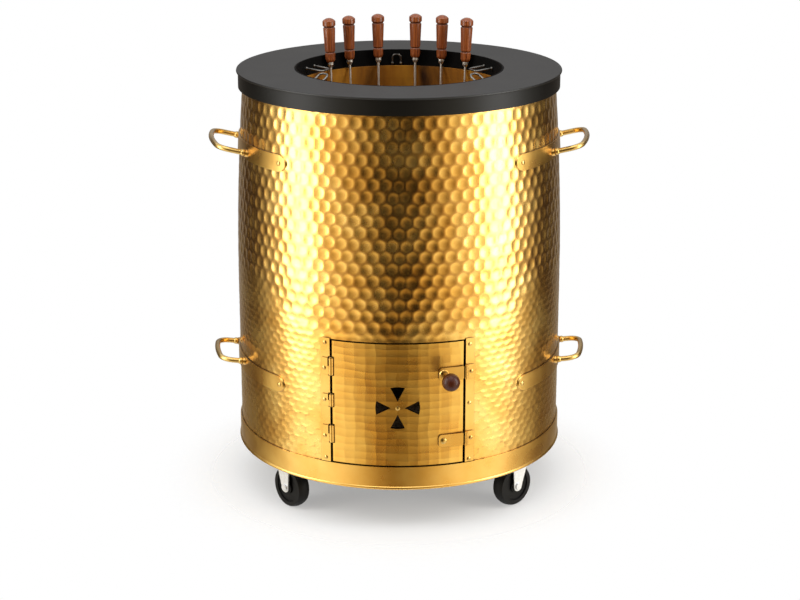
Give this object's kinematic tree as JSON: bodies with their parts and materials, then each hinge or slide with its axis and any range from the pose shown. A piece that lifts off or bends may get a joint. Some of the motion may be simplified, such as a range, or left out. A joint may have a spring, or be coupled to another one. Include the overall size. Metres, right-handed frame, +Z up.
{
  "type": "barrel tandoor",
  "caption": "Floor-standing hammered-brass drum tandoor on castors, with a clay pot, open mouth, latched ash door with a draught vent, lifting handles and wooden-handled skewers.",
  "frame": {"origin": "on the floor under the middle of the drum", "axes": "+Z up along the drum's axis, -Y towards the ash door, +X to the viewer's right"},
  "size_m": [0.7062, 0.6669, 0.866],
  "materials": {
    "hammered_brass": "hammered all over and lacquered",
    "sheet_brass": "plain brushed sheet",
    "brass_fittings": "polished",
    "black_stove_enamel": "satin black heat-proof paint",
    "bright_steel": "polished",
    "zinc_plated_steel": "pressed and zinc plated",
    "fired_clay": "bare fired clay, smoked",
    "refractory_slab": "cast refractory",
    "mineral_wool": "loose mineral wool",
    "cast_grate": "as cast",
    "black_rubber": "matt moulded",
    "turned_wood": "turned, stained and varnished"
  },
  "bodies": {
    "root": {"outer_shell": "hammered_brass", "base_band": "sheet_brass", "hinge_strip": "sheet_brass", "latch_strip": "sheet_brass", "frame_hinge_leaves": "sheet_brass", "upper_keeper": "sheet_brass", "lower_keeper": "sheet_brass", "upper_left_strap": "sheet_brass", "upper_right_strap": "sheet_brass", "lower_left_strap": "sheet_brass", "lower_right_strap": "sheet_brass", "frame_screws": "brass_fittings", "hinge_pins": "brass_fittings", "handle_rivets": "brass_fittings", "upper_left_loop": "brass_fittings", "upper_right_loop": "brass_fittings", "lower_left_loop": "brass_fittings", "lower_right_loop": "brass_fittings", "top_plate": "black_stove_enamel", "top_skirt": "black_stove_enamel", "mouth_collar": "black_stove_enamel", "base_plate": "black_stove_enamel", "mouth_wire_loops": "bright_steel", "ash_tunnel": "zinc_plated_steel", "castor_plates": "zinc_plated_steel", "castor_bolts": "zinc_plated_steel", "clay_pot": "fired_clay", "hearth_slab": "refractory_slab", "insulation": "mineral_wool", "fire_grate": "cast_grate"},
    "door": {"door_panel": "hammered_brass", "door_hinge_leaves": "sheet_brass", "vent_rivet": "brass_fittings", "lower_latch_rivet": "brass_fittings"},
    "damper": {"vent_damper": "sheet_brass"},
    "upper_latch": {"upper_latch_bar": "sheet_brass", "latch_spindle": "bright_steel", "latch_knob": "turned_wood"},
    "lower_latch": {"lower_latch_bar": "sheet_brass"},
    "front_left_swivel": {"front_left_castor_fork": "zinc_plated_steel"},
    "front_left_wheel": {"front_left_castor_wheel": "black_rubber"},
    "front_right_swivel": {"front_right_castor_fork": "zinc_plated_steel"},
    "front_right_wheel": {"front_right_castor_wheel": "black_rubber"},
    "rear_left_swivel": {"rear_left_castor_fork": "zinc_plated_steel"},
    "rear_left_wheel": {"rear_left_castor_wheel": "black_rubber"},
    "rear_right_swivel": {"rear_right_castor_fork": "zinc_plated_steel"},
    "rear_right_wheel": {"rear_right_castor_wheel": "black_rubber"},
    "first_skewer": {"first_skewer_rod": "bright_steel", "first_skewer_handle": "turned_wood"},
    "second_skewer": {"second_skewer_rod": "bright_steel", "second_skewer_handle": "turned_wood"},
    "third_skewer": {"third_skewer_rod": "bright_steel", "third_skewer_handle": "turned_wood"},
    "fourth_skewer": {"fourth_skewer_rod": "bright_steel", "fourth_skewer_handle": "turned_wood"},
    "fifth_skewer": {"fifth_skewer_rod": "bright_steel", "fifth_skewer_handle": "turned_wood"},
    "sixth_skewer": {"sixth_skewer_rod": "bright_steel", "sixth_skewer_handle": "turned_wood"}
  },
  "joints": [
    {"name": "door_hinge", "type": "hinge", "parent": "root", "child": "door", "pos_m": [-0.12099, -0.28161, 0.245], "axis": [0, 0, -1], "range_deg": [0, 120]},
    {"name": "vent_damper_turn", "type": "hinge", "parent": "door", "child": "damper", "pos_m": [-0.00235, -0.299, 0.238], "axis": [-0.0079, -1, 0], "range_deg": [0, 45]},
    {"name": "upper_latch_turn", "type": "hinge", "parent": "door", "child": "upper_latch", "pos_m": [0.07946, -0.29757, 0.2995], "axis": [0.258, -0.9662, 0], "range_deg": [0, 90]},
    {"name": "lower_latch_turn", "type": "hinge", "parent": "door", "child": "lower_latch", "pos_m": [0.07946, -0.29757, 0.173], "axis": [0.258, -0.9662, 0], "range_deg": [0, 90]},
    {"name": "front_left_castor_swivel", "type": "hinge", "parent": "root", "child": "front_left_swivel", "pos_m": [-0.18698, -0.20129, 0.0865], "axis": [0, 0, 1], "continuous": true},
    {"name": "front_left_castor_roll", "type": "hinge", "parent": "front_left_swivel", "child": "front_left_wheel", "pos_m": [-0.2001, -0.1862, 0.04], "axis": [0.7547, 0.6561, 0], "continuous": true},
    {"name": "front_right_castor_swivel", "type": "hinge", "parent": "root", "child": "front_right_swivel", "pos_m": [0.19592, -0.1926, 0.0865], "axis": [0, 0, 1], "continuous": true},
    {"name": "front_right_castor_roll", "type": "hinge", "parent": "front_right_swivel", "child": "front_right_wheel", "pos_m": [0.21101, -0.17948, 0.04], "axis": [0.6561, -0.7547, 0], "continuous": true},
    {"name": "rear_left_castor_swivel", "type": "hinge", "parent": "root", "child": "rear_left_swivel", "pos_m": [-0.19592, 0.1926, 0.0865], "axis": [0, 0, 1], "continuous": true},
    {"name": "rear_left_castor_roll", "type": "hinge", "parent": "rear_left_swivel", "child": "rear_left_wheel", "pos_m": [-0.20904, 0.17751, 0.04], "axis": [-0.7547, 0.6561, 0], "continuous": true},
    {"name": "rear_right_castor_swivel", "type": "hinge", "parent": "root", "child": "rear_right_swivel", "pos_m": [0.18698, 0.20129, 0.0865], "axis": [0, 0, 1], "continuous": true},
    {"name": "rear_right_castor_roll", "type": "hinge", "parent": "rear_right_swivel", "child": "rear_right_wheel", "pos_m": [0.20208, 0.18817, 0.04], "axis": [-0.6561, -0.7547, 0], "continuous": true},
    {"name": "first_skewer_lift", "type": "slide", "parent": "root", "child": "first_skewer", "axis": [-0.0281, 0.0262, 0.9993], "range_m": [0, 0.6]},
    {"name": "second_skewer_lift", "type": "slide", "parent": "root", "child": "second_skewer", "axis": [-0.0203, 0.0326, 0.9993], "range_m": [0, 0.6]},
    {"name": "third_skewer_lift", "type": "slide", "parent": "root", "child": "third_skewer", "axis": [-0.0086, 0.0374, 0.9993], "range_m": [0, 0.6]},
    {"name": "fourth_skewer_lift", "type": "slide", "parent": "root", "child": "fourth_skewer", "axis": [0.0067, 0.0378, 0.9993], "range_m": [0, 0.6]},
    {"name": "fifth_skewer_lift", "type": "slide", "parent": "root", "child": "fifth_skewer", "axis": [0.0174, 0.0342, 0.9993], "range_m": [0, 0.6]},
    {"name": "sixth_skewer_lift", "type": "slide", "parent": "root", "child": "sixth_skewer", "axis": [0.0271, 0.0271, 0.9993], "range_m": [0, 0.6]}
  ]
}
